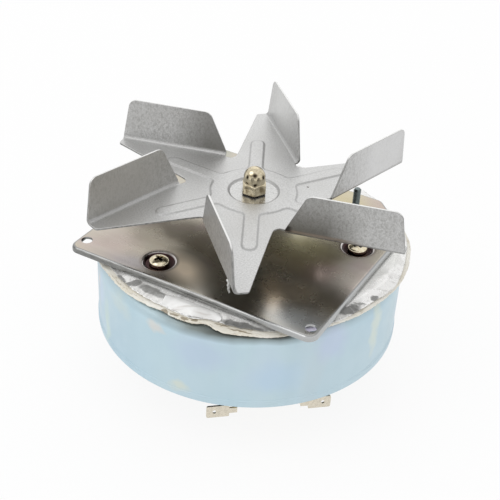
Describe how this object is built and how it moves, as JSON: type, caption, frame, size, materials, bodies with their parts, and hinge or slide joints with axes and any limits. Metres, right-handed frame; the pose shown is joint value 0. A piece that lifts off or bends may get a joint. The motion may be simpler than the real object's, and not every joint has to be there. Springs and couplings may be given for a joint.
{
  "type": "oven fan motor",
  "caption": "Shaded-pole motor in a round drum under an insulated mounting plate, driving a pressed radial fan wheel on a vertical shaft.",
  "frame": {"origin": "on the shaft axis at the rear bracket's flat crown, the face the motor rests on", "axes": "+Z along the shaft towards the fan wheel, +X and +Y along the mounting plate's edges"},
  "size_m": [0.1498, 0.1408, 0.1097],
  "materials": {
    "fan_steel": "satin, fine grain",
    "nut_nickel": "bright",
    "washer_zinc": "satin",
    "plate_zinc": "bright zinc with a faint iridescent tint",
    "screw_zinc": "bright zinc",
    "stud_zinc": "blued zinc",
    "insulation": "foil-faced fibre",
    "drum_zinc": "pale blue zinc, satin",
    "bracket_zinc": "satin zinc",
    "lamination": "oiled electrical steel",
    "copper": "bare copper",
    "winding": "enamelled copper wire",
    "bobbin": "moulded",
    "tape": "polyester tape",
    "terminal": "nickel plated",
    "bronze": "sintered bronze",
    "spring_steel": "satin",
    "felt": "oiled felt",
    "shaft_steel": "ground",
    "cage": "cast",
    "thrust": "laminate",
    "collar": "turned",
    "cooler": "rolled sheet"
  },
  "bodies": {
    "motor": {"mounting_plate": "plate_zinc", "plate_stud": "stud_zinc", "insulation_disc": "insulation", "drum_housing": "drum_zinc", "front_bracket": "bracket_zinc", "rear_bracket": "bracket_zinc", "stator_stack": "lamination", "bridge_core": "lamination", "shading_ring_1": "copper", "shading_ring_2": "copper", "coil_bobbin": "bobbin", "coil_winding": "winding", "coil_tape": "tape", "terminal_left": "terminal", "terminal_right": "terminal", "front_bush": "bronze", "rear_bush": "bronze", "front_retainer": "spring_steel", "rear_retainer": "spring_steel", "front_felt": "felt", "rear_felt": "felt", "plate_screw_1": "screw_zinc", "spacer_sleeve_1": "bracket_zinc", "plate_screw_nut_1": "bracket_zinc", "plate_screw_2": "screw_zinc", "spacer_sleeve_2": "bracket_zinc", "plate_screw_nut_2": "bracket_zinc", "plate_screw_3": "screw_zinc", "spacer_sleeve_3": "bracket_zinc", "plate_screw_nut_3": "bracket_zinc", "stator_screw_1": "bracket_zinc", "stator_nut_1": "bracket_zinc", "stator_screw_2": "bracket_zinc", "stator_nut_2": "bracket_zinc", "stator_screw_3": "bracket_zinc", "stator_nut_3": "bracket_zinc", "stator_screw_4": "bracket_zinc", "stator_nut_4": "bracket_zinc"},
    "rotor": {"shaft": "shaft_steel", "rotor_core": "lamination", "rotor_cage": "cage", "front_thrust_washer": "thrust", "rear_thrust_washer": "thrust", "cooler_collar": "collar", "cooling_fan": "cooler", "hub_washer": "washer_zinc", "fan_wheel": "fan_steel", "dome_nut": "nut_nickel"}
  },
  "joints": [
    {"name": "shaft_spin", "type": "hinge", "parent": "motor", "child": "rotor", "pos_m": [0, 0, 0], "axis": [0, 0, 1], "continuous": true}
  ]
}
